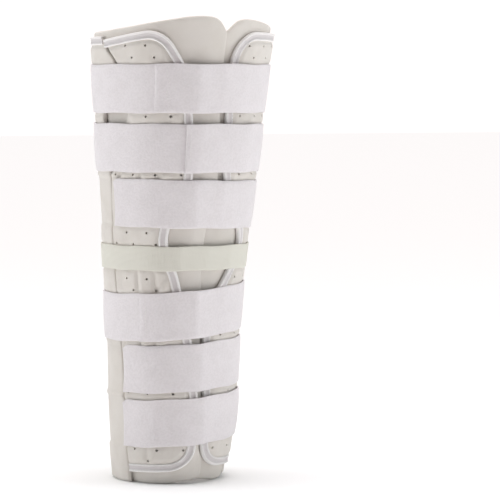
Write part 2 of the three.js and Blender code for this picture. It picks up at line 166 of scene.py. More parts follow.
BACK_LEFT = (
    (0, 292.5), (0.075, 289), (0.2, 287), (0.31, 283.6), (0.45, 279), (0.55, 277), (0.66, 277.6),
    (0.72, 275.5), (0.79, 272), (0.85, 278), (0.9, 287.5), (0.94, 278), (1, 268),
)
# Rows are (angle, share of the height), from the end of the right flap round to that of the left one.
LINER_TOP = (
    (-25, 0.93), (-5, 0.95), (6, 0.97), (13, 0.99), (20, 0.995), (30, 0.993), (40, 0.989), (60, 0.981),
    (80, 0.977), (120, 0.971), (180, 0.969), (243, 0.969), (276, 0.972), (289, 0.976), (303, 0.981),
    (320, 0.989), (332, 0.995), (340, 0.999), (350, 1), (357, 0.995), (360.6, 0.984), (364, 0.967),
    (368.5, 0.95),
)
LINER_FOOT = (
    (-25, 0.012), (-5, 0.01), (6, 0.008), (13, 0.007), (20, 0.005), (30, 0.0015), (40, 0), (60, 0), (80, 0),
    (120, 0), (180, 0), (243, 0), (276, 0), (289, 0), (303, 0), (320, 0), (332, 0), (340, 0.002),
    (350, 0.006), (357, 0.0075), (360.6, 0.008), (364, 0.012), (368.5, 0.018),
)
# The edges at the lower and the higher angle, the middle angle, and the top and foot at both edges
Panel = namedtuple("Panel", "name low_edge high_edge middle top foot front vented")
PANELS = (
    Panel("left_panel", LEFT_REAR, LEFT_FRONT, -50, (0.953, 0.975), (0.0235, 0.031), "high", True),
    Panel("right_panel", RIGHT_FRONT, RIGHT_REAR, 50, (0.97, 0.966), (0.036, 0.029), "low", True),
    Panel("back_panel", BACK_RIGHT, BACK_LEFT, 180, (0.96, 0.96), (0, 0), None, False),
)
# The middle and its rise to the left as shares of the height, the width, and the angles of both ends
Strap = namedtuple("Strap", "name middle rise width start end")
STRAPS = (
    Strap("thigh_strap_top", 0.8495, 0, WIDE, -39, 372),
    Strap("thigh_strap_middle", 0.7238, 0.001, WIDE, -19.5, 386),
    Strap("thigh_strap_lower", 0.605, 0.004, WIDE, -75, 150),
    Strap("knee_elastic_strap", 0.4902, 0, NARROW, -180, 180),
    Strap("calf_strap_upper", 0.3714, -0.011, WIDE, -50, 350),
    Strap("calf_strap_middle", 0.2566, -0.007, WIDE, -69.5, 150),
    Strap("calf_strap_lower", 0.1398, -0.008, WIDE, -70, 150),
)
# Folds of the left panel: angle, share of the height, tilt in degrees, length, depth
CREASES = (
    (-70, 0.667, 34, 0.03, 0.0026), (-51, 0.664, 4, 0.034, 0.0026), (-37, 0.662, -3, 0.03, 0.0018),
    (-60, 0.785, -4, 0.03, 0.0016), (-53.6, 0.434, -3, 0.04, 0.0024), (-38.5, 0.44, -6, 0.04, 0.0024),
    (-33, 0.437, 30, 0.034, 0.002), (-68, 0.308, 42, 0.034, 0.0024), (-52, 0.31, -6, 0.034, 0.0024),
    (-38, 0.309, 8, 0.03, 0.002), (-45, 0.06, -3, 0.03, 0.0014),
)
# Soft ridges across the straps: strap, angle, half width, height, how far they wander
RIDGES = (
    ("thigh_strap_top", -37.3, 0.0016, 0.0006, 0), ("thigh_strap_top", -31, 0.0009, 0.0005, 0.0012),
    ("thigh_strap_top", 4, 0.003, 0.0004, 0), ("thigh_strap_middle", 3, 0.002, 0.0004, 0.0005),
    ("thigh_strap_lower", -67, 0.003, 0.0005, 0), ("thigh_strap_lower", 11, 0.0018, 0.0005, 0),
    ("calf_strap_upper", -46, 0.0016, 0.0006, 0), ("calf_strap_upper", -58, 0.003, 0.0006, 0.0005),
    ("calf_strap_upper", -7, 0.0025, 0.0005, 0), ("calf_strap_middle", -60, 0.003, 0.0005, 0.001),
    ("calf_strap_lower", -38, 0.003, 0.0007, 0.0006), ("calf_strap_lower", -50, 0.002, 0.0004, 0.0008),
)
# Rows of stitches across the straps: strap, angle, how far they wander
SEAMS = (("thigh_strap_top", -31, 0.0012), ("calf_strap_upper", -44.5, 0), ("thigh_strap_middle", -16.5, 0))


def smooth(rows, x):
    """A smooth run through (place, value) rows, held at both ends."""
    at, value = (np.array(column, float) for column in zip(*rows))
    ahead, behind = np.minimum(np.arange(len(at)) + 1, len(at) - 1), np.maximum(np.arange(len(at)) - 1, 0)
    slope = (value[ahead] - value[behind]) / (at[ahead] - at[behind])
    x = np.clip(x, at[0], at[-1])
    i = np.clip(np.searchsorted(at, x, side="right") - 1, 0, len(at) - 2)
    span = at[i + 1] - at[i]
    u = (x - at[i]) / span
    bend = (slope[i] * span * (1 - u) - slope[i + 1] * span * u) * u * (1 - u)
    turn = (value[i + 1] - value[i]) * (1 - 2 * u) * u * (1 - u)
    return value[i] + (value[i + 1] - value[i]) * u + bend - turn


def ease(x, start, end):
    """A soft step from 0 at start to 1 at end."""
    t = np.clip((x - start) / (end - start), 0, 1)
    return t * t * (3 - 2 * t)


def inner_radius(z):
    """The radius of the inner face."""
    return TOP_RADIUS * smooth(INNER_FACE, z / HEIGHT)


def place(angle, z, out):
    """Points on the brace, out metres off its inner face."""
    radius = inner_radius(z) + out
    a = np.radians(angle)
    return np.stack([radius * np.sin(a), BACK_Y - inner_radius(z) - radius * np.cos(a), z + 0 * a], -1)


def lap_lift(angle):
    """How far the left flap is lifted where it lies on the right one."""
    return SEAT * ease(angle, LAP_START, LAP_END)


def strap_level(strap, angle):
    """The height of a strap's middle line."""
    return HEIGHT * (strap.middle - strap.rise * np.sin(np.radians(angle)))


def clear_of_straps(angle, z):
    """How far a place lies above or below the nearest strap's edge."""
    away = [np.abs(z - strap_level(strap, angle)) - strap.width / 2 for strap in STRAPS]
    return np.min(away, axis=0)


def ripple(angle, z, seed):
    """A small uneven wave, between -1 and 1."""
    a = np.radians(angle)
    return (
        np.sin(23 * a + 61 * z + seed)
        + 0.7 * np.sin(41 * a - 97 * z + 2.3 * seed)
        + 0.5 * np.sin(13 * a + 171 * z + 4.1 * seed)
    ) / 2.2


class Wire:
    """A shader socket that takes part in sums and products."""

    def __init__(self, tree, socket):
        self.tree, self.socket = tree, socket

    def math(self, operation, *others):
        return node(self.tree, "ShaderNodeMath", {"operation": operation}, self, *others)

    def __add__(self, other):
        return self.math("ADD", other)

    def __sub__(self, other):
        return self.math("SUBTRACT", other)

    def __mul__(self, other):
        return self.math("MULTIPLY", other)

    def __rsub__(self, other):
        return node(self.tree, "ShaderNodeMath", {"operation": "SUBTRACT"}, other, self)

    __radd__, __rmul__ = __add__, __mul__

    def sin(self):
        return self.math("SINE")

    def size(self):
        return self.math("ABSOLUTE")

    def between(self, low, high):
        """0 below low, 1 above high, smooth in the middle."""
        return node(self.tree, "ShaderNodeMapRange", {"interpolation_type": "SMOOTHSTEP"}, self, low, high)


def node(tree, kind, settings, *values, output=0, **named):
    """Adds one node, with its settings and then the values or wires of its sockets."""
    made = tree.nodes.new(kind)
    for key, value in settings.items():
        setattr(made, key, value)
    sockets = [*enumerate(values), *named.items()]
    for key, value in sockets:
        socket = made.inputs[key]
        if isinstance(value, Wire):
            tree.links.new(value.socket, socket)
        else:
            socket.default_value = value
    return Wire(tree, made.outputs[output])


def wave(length, pitch):
    """Even ridges a pitch apart, between 0 and 1."""
    return (length * (2 * math.pi / pitch)).sin() * 0.5 + 0.5


def noise(tree, where, scale, detail=2.0):
    """Soft uneven spots, scale of them to a metre."""
    return node(tree, "ShaderNodeTexNoise", {}, Vector=where, Scale=scale, Detail=detail)


def blend(tree, share, low, high):
    """A colour between low and high."""
    ends = {"A": (*low, 1), "B": (*high, 1)}
    return node(tree, "ShaderNodeMix", {"data_type": "RGBA"}, output="Result", Factor=share, **ends)


def cloth_material(name, colour, shade, roughness, relief, sheen, pattern):
    """A cloth: its pattern gives the height of its relief and the share of its darker tone."""
    material = bpy.data.materials.new(CLOTH_PREFIX + name)
    material.use_nodes = True
    tree = material.node_tree
    shader = tree.nodes["Principled BSDF"]
    shader.inputs["Roughness"].default_value = roughness
    shader.inputs["Sheen Weight"].default_value = sheen
    shader.inputs["Sheen Roughness"].default_value = 0.5
    shader.inputs["Specular IOR Level"].default_value = 0.25
    uv = node(tree, "ShaderNodeUVMap", {"uv_map": CLOTH_LAYER})
    spot = node(tree, "ShaderNodeTexCoord", {}, output="Object")
    height, tint = pattern(tree, uv, spot)
    # The darker tone is random tone on most cloths, and painted shade in the grooves of the tape and the
    # elastic
    colour_wire = blend(tree, tint, colour, shade)
    bump = node(tree, "ShaderNodeBump", {}, Strength=0.55, Distance=relief, Height=height)
    tree.links.new(colour_wire.socket, shader.inputs["Base Color"])
    tree.links.new(bump.socket, shader.inputs["Normal"])


def split(tree, uv):
    """The way along the cloth and the way across it."""
    along = node(tree, "ShaderNodeSeparateXYZ", {}, uv)
    return along, Wire(tree, along.socket.node.outputs["Y"])


# Pitches of the loops, ribs, weave and bars, and the count of ribs across the elastic
LOOP, LOOP_HEIGHT = 0.9 * MM, 0.8
TAPE_RIB = 1.25 * MM
WEAVE = 0.8 * MM
ELASTIC_BAR, ELASTIC_RIBS = 1.5 * MM, 21
SELVEDGE_START, SELVEDGE_FULL = 0.455, 0.475


def knit_pattern(tree, uv, spot):
    """Brushed knit: columns of fine loops under a soft nap."""
    along, across = split(tree, uv)
    turn = 2 * math.pi / LOOP
    loops = (along * turn).sin() * (across * (turn * LOOP_HEIGHT)).sin() * 0.5 + 0.5
    nap = noise(tree, spot, 1500, 3)
    cloud = noise(tree, spot, 38, 3)
    relief = loops * 0.45 + nap * 0.9 + noise(tree, spot, 180) * 0.8
    return relief, cloud.between(0.35, 0.75) * 0.55 + nap * 0.25


def rib_pattern(tree, uv, spot):
    """Binding tape: a sunken band of close ribs between two rolls of the tape's own colour; the band
    carries painted shade, deepest between its ribs.
    """
    along, across = split(tree, uv)
    ribs = wave(along, TAPE_RIB)
    inside = TAPE_BAND / 2 - (across - TAPE_BAND_MIDDLE).size()
    band = inside.between(-TAPE_BAND_FADE, TAPE_BAND_FADE)
    relief = ribs * (band * 0.8 + 0.35) + noise(tree, spot, 900) * 0.5
    # Painted shade: the sunken band takes the darker tone, more of it between the ribs; beside the band
    # only random spots of tone
    return relief, band * ((1 - ribs) * 0.45 + 0.75) + (1 - band) * noise(tree, spot, 60) * 0.2


def pile_pattern(tree, uv, spot):
    """Loop pile: a dense uneven nap, with a flat woven selvedge along both edges."""
    along, across = split(tree, uv)
    edge = (across - 0.5).size().between(SELVEDGE_START, SELVEDGE_FULL)
    weave = wave(along, WEAVE)
    tufts = noise(tree, spot, 430, 4)
    pile = tufts * 1.6 + noise(tree, spot, 1500, 2) * 0.9
    cloud = noise(tree, spot, 45, 3).between(0.35, 0.7)
    relief = pile * (1 - edge) + weave * edge * 0.6 + edge * 0.4
    return relief, cloud * 0.4 + tufts.between(0.4, 0.62) * 0.5 - edge * 0.4


def elastic_pattern(tree, uv, spot):
    """Knit elastic: fine ribs along the strap, crossed by the bars of its rubber, with painted shade in the
    grooves between them.
    """
    along, across = split(tree, uv)
    ribs = wave(across, 1 / ELASTIC_RIBS)
    bars = wave(along, ELASTIC_BAR)
    # Painted shade: the grooves between the ribs and between the bars take the darker tone; the noise adds
    # random tone
    return ribs + bars * 0.45, (1 - ribs) * 0.4 + (1 - bars) * 0.2 + noise(tree, spot, 50) * 0.3


def thread_pattern(tree, uv, spot):
    """Thread: a fine twist."""
    twist = noise(tree, spot, 3000)
    return twist, twist * 0.5


def make_cloths(colours):
    """Makes every cloth: its two tones, roughness, relief in metres, sheen and pattern."""
    foam, tape = (colours.foam, colours.foam_shade), (colours.tape, colours.tape_shade)
    strap, elastic = (colours.strap, colours.strap_shade), (colours.elastic, colours.elastic_shade)
    cloth_material("foam_laminate", *foam, 0.88, 0.00035, 0.1, knit_pattern)
    cloth_material("binding_tape", *tape, 0.75, 0.00045, 0.05, rib_pattern)
    cloth_material("loop_strap", *strap, 0.95, 0.0006, 0.15, pile_pattern)
    cloth_material("knit_elastic", *elastic, 0.85, 0.0004, 0.05, elastic_pattern)
    cloth_material("sewing_thread", *tape, 0.6, 0.0001, 0.1, thread_pattern)


JOIN_DISTANCE = 1e-6
SHARPEST_SMOOTH = 50
RIM_ROWS = 5


def finished_piece(name, slot, points, faces, uvs, replaces=None):
    """Makes a piece of given corners, with its cloth laid along it, and lets it ride on the brace."""
    mesh = bpy.data.meshes.new(name)
    mesh.from_pydata(points, [], faces)
    layer = mesh.uv_layers.new(name=CLOTH_LAYER)
    corners = np.array([loop.vertex_index for loop in mesh.loops])
    layer.data.foreach_set("uv", np.asarray(uvs, float)[corners].ravel())
    piece = bpy.data.objects.new(name, mesh)
    bpy.context.collection.objects.link(piece)
    bpy.ops.object.select_all(action="DESELECT")
    piece.select_set(True)
    bpy.context.view_layer.objects.active = piece
    bpy.ops.object.mode_set(mode="EDIT")
    bpy.ops.mesh.select_all(action="SELECT")
    bpy.ops.mesh.remove_doubles(threshold=JOIN_DISTANCE)
    bpy.ops.mesh.normals_make_consistent(inside=False)
    bpy.ops.object.mode_set(mode="OBJECT")
    bpy.ops.object.shade_smooth_by_angle(angle=math.radians(SHARPEST_SMOOTH))
    mesh.materials.append(bpy.data.materials[CLOTH_PREFIX + slot])
    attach(piece, "root")
    "binding_tape" if slot == "sewing_thread" else slot
    if replaces:
        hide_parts(replaces)
    return piece


def grid_faces(rows, columns, start, flip):
    """Faces over a grid of corners, numbered row by row."""
    quads = []
    for j in range(rows - 1):
        for i in range(columns - 1):
            a = start + j * columns + i
            quad = (a, a + 1, a + columns + 1, a + columns)
            quads.append(quad[::-1] if flip else quad)
    return quads


def closed_sheet(name, slot, inner, outer, uv, replaces=None):
    """A sheet of two faces that meet along every open edge."""
    rows, columns = outer.shape[:2]
    points = np.concatenate([outer.reshape(-1, 3), inner.reshape(-1, 3)])
    faces = grid_faces(rows, columns, 0, False) + grid_faces(rows, columns, rows * columns, True)
    flat = uv.reshape(-1, 2)
    return finished_piece(name, slot, points.tolist(), faces, np.concatenate([flat, flat]), replaces)


def rim_steps(length, radius, step):
    """Distances along a length, close together at both ends where an edge is rounded."""
    near = radius * (1 - np.cos(np.linspace(0, math.pi / 2, RIM_ROWS)))
    middle = np.linspace(radius, length - radius, max(int(length / step), 2))
    return np.concatenate([near[:-1], middle, (length - near[:-1])[::-1]])


def rounded(distance, radius):
    """The share of the full thickness at a distance from a rounded edge."""
    t = 1 - np.clip(distance / radius, 0, 1)
    return np.sqrt(np.clip(1 - t * t, 0, 1))


def make_liner():
    """The foam wrap, its left flap lapped over its right one."""
    round_edge = LINER / 2
    arc = math.radians(LINER_TURN) * inner_radius(HEIGHT / 2)
    u = rim_steps(arc, round_edge, LINER_STEP) / arc
    v = rim_steps(HEIGHT, round_edge, LINER_ROW) / HEIGHT
    share, up = np.meshgrid(u, v)

    def end(z):
        return 360 + smooth(FLAP_FRONT, z / HEIGHT)

    near = RIGHT_FLAP_END + (end(up * HEIGHT) - RIGHT_FLAP_END) * share
    top = HEIGHT * smooth(LINER_TOP, near)
    foot = HEIGHT * np.maximum(smooth(LINER_FOOT, near), 0)
    z = foot + (top - foot) * up
    angle = RIGHT_FLAP_END + (end(z) - RIGHT_FLAP_END) * share
    inside = np.minimum(np.minimum(share, 1 - share) * arc, np.minimum(up, 1 - up) * HEIGHT)
    half = round_edge * rounded(inside, round_edge)
    seat = lap_lift(angle - 360) + LINER / 2
    bare = ease(clear_of_straps(angle, z), 0, RIPPLE_FADE) * ease(inside, 0, RIPPLE_FADE)
    bare = bare * ease(np.abs(z - HEIGHT / 2), RIPPLE_END, RIPPLE_FULL)
    soft = np.minimum(RIPPLE * ripple(angle, z, 1.7) * bare, RIPPLE_LIMIT)
    wander = sum(depth * np.sin(np.radians(angle * waves + shift)) for depth, waves, shift in SAGS)
    sag = wander * ease(z, SAG_START, HEIGHT)
    flap_edge = 1 - FLAP_THINNING * ease((1 - share) * arc, FLAP_FULL, FLAP_THIN)
    outer = place(angle, z, seat + half * flap_edge + soft + sag)
    inner = place(angle, z, seat - half + sag)
    uv = np.stack([np.radians(angle) * LINER_CLOTH_RADIUS, z], -1)
    piece = closed_sheet("foam_liner", "foam_laminate", inner, outer, uv, "liner")


def flat_radius(z):
    """The radius at which a panel is laid flat."""
    return inner_radius(z) + SEAT + PANEL / 2


def side_points(panel, side, count):
    """Flat points up one side of a panel, from its sharp foot corner to its sharp top one."""
    z = HEIGHT * np.linspace(panel.foot[side], panel.top[side], count)
    edge = panel.high_edge if side else panel.low_edge
    bound = panel.front == ("high" if side else "low")
    spread = 0 if bound else FREE_EDGE * (1 if side else -1)
    return np.stack([np.radians(smooth(edge, z / HEIGHT) - panel.middle) * flat_radius(z) + spread, z], -1)


def rounded_corner(corner, rear, edge):
    """The arc that joins a straight end, drawn from the corner to the rear, to a panel's front edge."""
    way = (rear - corner) / np.linalg.norm(rear - corner)
    normal = np.array([-way[1], way[0]])
    normal *= np.sign((edge[len(edge) // 2] - corner) @ normal)
    t = np.linspace(0, 3 * CORNER, CORNER_MARKS)
    centres = corner + t[:, None] * way + CORNER * normal
    gap = np.linalg.norm(centres[:, None] - edge[None], axis=2).min(axis=1)
    reach = np.interp(CORNER, gap, t)
    centre = corner + reach * way + CORNER * normal
    touch = edge[np.linalg.norm(edge - centre, axis=1).argmin()]
    first, last = (np.arctan2(*(p - centre)[::-1]) for p in (centre - CORNER * normal, touch))
    turn = (last - first + math.pi) % (2 * math.pi) - math.pi
    a = first + turn * np.linspace(0, 1, CORNER_ROWS)
    return centre + CORNER * np.stack([np.cos(a), np.sin(a)], -1)


def panel_outline(panel):
    """The flat edges of a panel, row by row: points up its lower side and up its higher side."""
    low, high = side_points(panel, 0, PANEL_ROWS), side_points(panel, 1, PANEL_ROWS)
    if panel.front is None:
        return low, high
    side, rear = (1, low) if panel.front == "high" else (0, high)
    edge = side_points(panel, side, FRONT_MARKS)
    foot = rounded_corner(edge[0], rear[0], edge)
    head = rounded_corner(edge[-1], rear[-1], edge)[::-1]
    body = edge[(edge[:, 1] > foot[-1, 1]) & (edge[:, 1] < head[0, 1])]
    body = body[:: max(len(body) // FRONT_ROWS, 1)]
    bound = np.concatenate([foot, body, head])
    share = (bound[:, 1] - bound[0, 1]) / (bound[-1, 1] - bound[0, 1])
    z = rear[0, 1] + (rear[-1, 1] - rear[0, 1]) * share
    rear = np.stack([np.interp(z, rear[:, 1], rear[:, 0]), z], -1)
    return (rear, bound) if side else (bound, rear)


def run_between(a, b):
    """Points from a straight to b."""
    return a + (b - a) * np.linspace(0, 1, END_MARKS)[:, None]


def binding_path(panel):
    """The bound edge of a panel, in order with the panel on its left, and the run along it."""
    low, high = panel_outline(panel)
    foot, head = run_between(low[0], high[0]), run_between(high[-1], low[-1])
    if panel.front == "high":
        path = np.concatenate([foot[:-1], high, head[1:]])
    elif panel.front == "low":
        path = np.concatenate([head[:-1], low[::-1], foot[1:]])
    else:
        path = head
    return even_steps(path, TAPE_STEP)


def even_steps(path, step):
    """The same path with its points an even step apart, and the run along it."""
    run = np.concatenate([[0], np.cumsum(np.linalg.norm(np.diff(path, axis=0), axis=1))])
    marks = np.linspace(0, run[-1], int(run[-1] / step))
    return np.stack([np.interp(marks, run, path[:, k]) for k in (0, 1)], -1), marks


def inward(path):
    """Unit normals to the left of a path."""
    along = np.gradient(path, axis=0)
    along /= np.linalg.norm(along, axis=1)[:, None]
    return np.stack([-along[:, 1], along[:, 0]], -1)


def edge_depth(panel, x, z):
    """How far flat points lie from the bound edge."""
    path = binding_path(panel)[0][::2]
    flat = np.stack([x, z], -1).reshape(-1, 1, 2)
    parts = np.array_split(flat, 40)
    depth = [np.linalg.norm(part - path[None], axis=2).min(axis=1) for part in parts]
    return np.concatenate(depth).reshape(x.shape)


def stand_up(panel, x, z, out):
    """Flat points of a panel at their place on the brace."""
    angle = panel.middle + np.degrees(x / flat_radius(z))
    lift = lap_lift(angle) if panel.name == "left_panel" else 0
    return place(angle, z, SEAT + lift + out)


def folds(x, z, panel):
    """The depth of the left panel's folds, each with a soft bank beside it."""
    total = 0 * x
    if panel.name != "left_panel":
        return total
    for angle, level, tilt, length, depth in CREASES:
        middle = level * HEIGHT
        centre = math.radians(angle - panel.middle) * flat_radius(middle)
        lean = math.radians(tilt)
        along = (x - centre) * math.sin(lean) + (z - middle) * math.cos(lean)
        across = (x - centre) * math.cos(lean) - (z - middle) * math.sin(lean)
        reach = np.exp(-((along / (length / 2)) ** 2))
        bank = BANK_SHARE * np.exp(-(((across - BANK_PLACE) / BANK_WIDTH) ** 2))
        total = total + depth * reach * (np.exp(-((across / FOLD_WIDTH) ** 2)) - bank)
    return total


def make_panel(panel, sizes):
    """One perforated panel of foam laminate, pinched along its bound edges and swelling between straps."""
    front, round_edge = panel.front, PANEL / 2
    low, high = panel_outline(panel)
    if front:
        side, bound = (1, high) if front == "high" else (0, low[::-1])
        bound += EDGE_INSET * inward(bound)
        low[0, 1] += EDGE_INSET * side
        high[0, 1] += EDGE_INSET * (1 - side)
    low[-1, 1] -= EDGE_INSET * (front != "low")
    high[-1, 1] -= EDGE_INSET * (front != "high")
    width = np.max(high[:, 0] - low[:, 0])
    share = rim_steps(width, round_edge, PANEL_STEP) / width
    grid = low[:, None] + (high - low)[:, None] * share[None, :, None]
    x, z = grid[..., 0], grid[..., 1]
    depth = edge_depth(panel, x, z)
    full = ease(depth, PINCH_END, FULL_START)
    angle = panel.middle + np.degrees(x / flat_radius(z))
    away = clear_of_straps(angle, z)
    free = ease(away, *SWELL_SPAN)
    gather = np.exp(-np.clip(away, 0, 1) / GATHER_REACH) * ease(away, *GATHER_SPAN)
    uneven = GATHER * gather * ripple(angle * 1.3, z, 3.1) + UNEVEN * ripple(angle, z, 0.6)
    swell = (sizes.swell + uneven) * free - folds(x, z, panel) * ease(away, *FOLD_SPAN)
    from_low, from_high = x - low[:, :1], high[:, :1] - x
    rear = {"high": from_low, "low": from_high}.get(front, np.minimum(from_low, from_high))
    edge = rounded(rear, round_edge)
    foot = rounded(z - z[0], round_edge) if front is None else 1
    thick = (PINCHED + (PANEL - PINCHED + swell) * full) * edge * foot
    base = PINCH_LIFT * (1 - full) + round_edge * (1 - edge * foot)
    outline = np.ones(x.shape, bool)
    outline[1:-1, 1:-1] = False
    middle_level = base + np.maximum(thick, 0) / 2
    half = np.where(outline, 0, np.maximum(thick, THINNEST) / 2)
    outer = stand_up(panel, x, z, middle_level + half)
    inner = stand_up(panel, x, z, middle_level - half)
    uv = np.stack([x, z], -1)
    piece = closed_sheet(panel.name + "_cloth", "foam_laminate", inner, outer, uv, panel.name)
    if panel.vented:
        pierce(piece, panel, sizes)


def hole_places(panel):
    """The flat middles of the air holes, in staggered rows, clear of the edges and the straps."""
    places = []
    for row, z in enumerate(np.arange(VENT_TOP * HEIGHT, VENT_FOOT, -HOLE_ROWS)):
        edges = (panel.low_edge, panel.high_edge)
        low, high = (math.radians(smooth(e, z / HEIGHT) - panel.middle) * flat_radius(z) for e in edges)
        for column in HOLE_COLUMNS:
            x = HOLE_PITCH * (column + HOLE_SHIFTS[row % 2])
            deep = edge_depth(panel, np.array([[x]]), np.array([[z]]))[0, 0]
            bare = clear_of_straps(panel.middle + math.degrees(x / flat_radius(z)), z) > -UNDER_STRAP
            if bare and low + SIDE_CLEAR < x < high - SIDE_CLEAR and deep > BOUND_CLEAR:
                places.append((x, z))
    return places


def pierce(piece, panel, sizes):
    """Cuts small round holes through a panel."""
    points, faces = [], []
    turn = np.linspace(0, 2 * math.pi, HOLE_SIDES, endpoint=False)
    for x, z in hole_places(panel):
        rim_x, rim_z = x + sizes.hole_radius * np.cos(turn), z + sizes.hole_radius * np.sin(turn)
        start = len(points)
        for out in (PUNCH_FROM, PUNCH_TO):
            points.extend(stand_up(panel, rim_x, rim_z, out).tolist())
        near, far = range(start, start + HOLE_SIDES), range(start + HOLE_SIDES, start + 2 * HOLE_SIDES)
        for i in range(HOLE_SIDES):
            j = (i + 1) % HOLE_SIDES
            faces.append((near[i], near[j], far[j], far[i]))
        faces.append(tuple(near[::-1]))
        faces.append(tuple(far))
    mesh = bpy.data.meshes.new("punch")
    mesh.from_pydata(points, [], faces)
    punch = bpy.data.objects.new("punch", mesh)
    bpy.context.collection.objects.link(punch)
    cut = piece.modifiers.new("holes", "BOOLEAN")
    cut.operation, cut.object, cut.solver = "DIFFERENCE", punch, "MANIFOLD"
    bpy.context.view_layer.objects.active = piece
    bpy.ops.object.modifier_apply(modifier=cut.name)
    bpy.data.objects.remove(punch)


# The folded tape in section: depth in from the edge and height over the seat, in millimetres.
BINDING_SECTION = (
    (9.0, 3.4), (9.1, 4.1), (8.5, 4.75), (7.6, 4.85), (6.9, 4.3), (5.0, 4.15), (3.0, 4.2), (2.3, 4.75),
    (1.3, 4.85), (0.5, 4.2), (0.05, 3.0), (0.0, 2.1), (0.1, 1.0), (0.7, 0.2), (2.0, 0.0), (9.0, 0.0),
    (9.0, 0.7), (1.5, 0.8), (0.9, 1.4), (0.85, 2.1), (0.95, 2.9), (1.6, 3.35),
)


def make_binding(panel):
    """The ribbed tape folded over a panel's bound edge, with a roll along each of its sides."""
    path, run = binding_path(panel)
    side = inward(path)
    section = np.array(BINDING_SECTION) * MM
    wobble = sum(height * np.sin(run * turn + shift) for height, turn, shift in ROLL_WOBBLES)
    lengths = np.concatenate([[0], np.cumsum(np.linalg.norm(np.diff(section, axis=0), axis=1))])
    rings = []
    for depth, height in section:
        flat = path + side * depth
        rings.append(stand_up(panel, flat[:, 0], flat[:, 1], height + wobble * (height > ROLL_LEVEL)))
    rings = np.stack(rings, 1)
    count, around = rings.shape[:2]
    points = rings.reshape(-1, 3).tolist()
    faces = []
    for i in range(count - 1):
        for k in range(around):
            n = (k + 1) % around
            faces.append((i * around + k, (i + 1) * around + k, (i + 1) * around + n, i * around + n))
    faces.append(tuple(range(around)))
    faces.append(tuple((count - 1) * around + k for k in range(around - 1, -1, -1)))
    uv = np.stack(np.meshgrid(run, lengths, indexing="ij"), -1).reshape(-1, 2)
    name = panel.name
    piece = finished_piece(name + "_tape", "binding_tape", points, faces, uv, name + "_binding")


def stitch_row(name, centres, along, out, length):
    """A row of short stitches, each a thread that dips into the cloth at both ends."""
    points, faces, uvs = [], [], []
    for centre, way, up in zip(centres, along, out):
        aside = np.cross(way, up)
        start = len(points)
        for t in np.linspace(-1, 1, STITCH_RINGS):
            middle = centre + way * (t * length / 2) + up * (STITCH_RISE - STITCH_DIP * t * t)
            for k in range(STITCH_SIDES):
                turn = 2 * math.pi * k / STITCH_SIDES
                points.append((middle + THREAD * (aside * math.cos(turn) + up * math.sin(turn))).tolist())
                uvs.append((t, k / STITCH_SIDES))
        rings = [range(a, a + STITCH_SIDES) for a in range(start, len(points), STITCH_SIDES)]
        for near, far in zip(rings, rings[1:]):
            for k in range(STITCH_SIDES):
                n = (k + 1) % STITCH_SIDES
                faces.append((near[k], near[n], far[n], far[k]))
        faces.append(tuple(rings[0][::-1]))
        faces.append(tuple(rings[-1]))
    finished_piece(name, "sewing_thread", points, faces, uvs)


def unit(vectors):
    """The same directions at length 1."""
    return vectors / np.linalg.norm(vectors, axis=1)[:, None]


def make_stitches(panel, sizes):
    """Two rows of stitches along a binding."""
    path, run = binding_path(panel)
    side = inward(path)
    marks = np.arange(STITCH_END, run[-1] - STITCH_END, sizes.stitch + BINDING_STITCH_GAP)
    centres, ways, outs = [], [], []
    for depth in STITCH_ROWS:
        flat = path + side * depth
        x, z = (np.interp(marks, run, flat[:, k]) for k in (0, 1))
        next_x, next_z = (np.interp(marks + STITCH_AHEAD, run, flat[:, k]) for k in (0, 1))
        here = stand_up(panel, x, z, STITCH_LEVEL)
        centres.extend(here)
        ways.extend(unit(stand_up(panel, next_x, next_z, STITCH_LEVEL) - here))
        outs.extend(unit(stand_up(panel, x, z, STITCH_LEVEL + STITCH_OUT) - here))
    stitch_row(panel.name + "_stitches", centres, ways, outs, sizes.stitch)


def layers_under(angle, z):
    """How far out the layers under the straps reach."""
    turn = (angle + 180) % 360 - 180
    on_lap = (turn > LAP_START) & (turn < smooth(FLAP_FRONT, z / HEIGHT) + EDGE_MARGIN)
    reach = LINER + on_lap * lap_lift(turn)
    for panel in PANELS:
        off = (turn - panel.middle + 180) % 360 - 180 + panel.middle
        low, high = smooth(panel.low_edge, z / HEIGHT), smooth(panel.high_edge, z / HEIGHT)
        covered = (off > low - EDGE_MARGIN) & (off < high + EDGE_MARGIN)
        lift = lap_lift(off) if panel.name == "left_panel" else 0
        reach = np.where(covered, np.maximum(reach, SEAT + BOUND_EDGE + lift), reach)
    return reach


def hull(points):
    """The corners of the tightest band round some points, in order."""
    ordered = sorted(map(tuple, points))
    chains = []
    for run in (ordered, ordered[::-1]):
        chain = []
        for p in run:
            while len(chain) > 1:
                (ax, ay), (bx, by) = chain[-2:]
                if (bx - ax) * (p[1] - ay) - (by - ay) * (p[0] - ax) > 0:
                    break
                chain.pop()
            chain.append(p)
        chains.extend(chain[:-1])
    return np.array(chains)


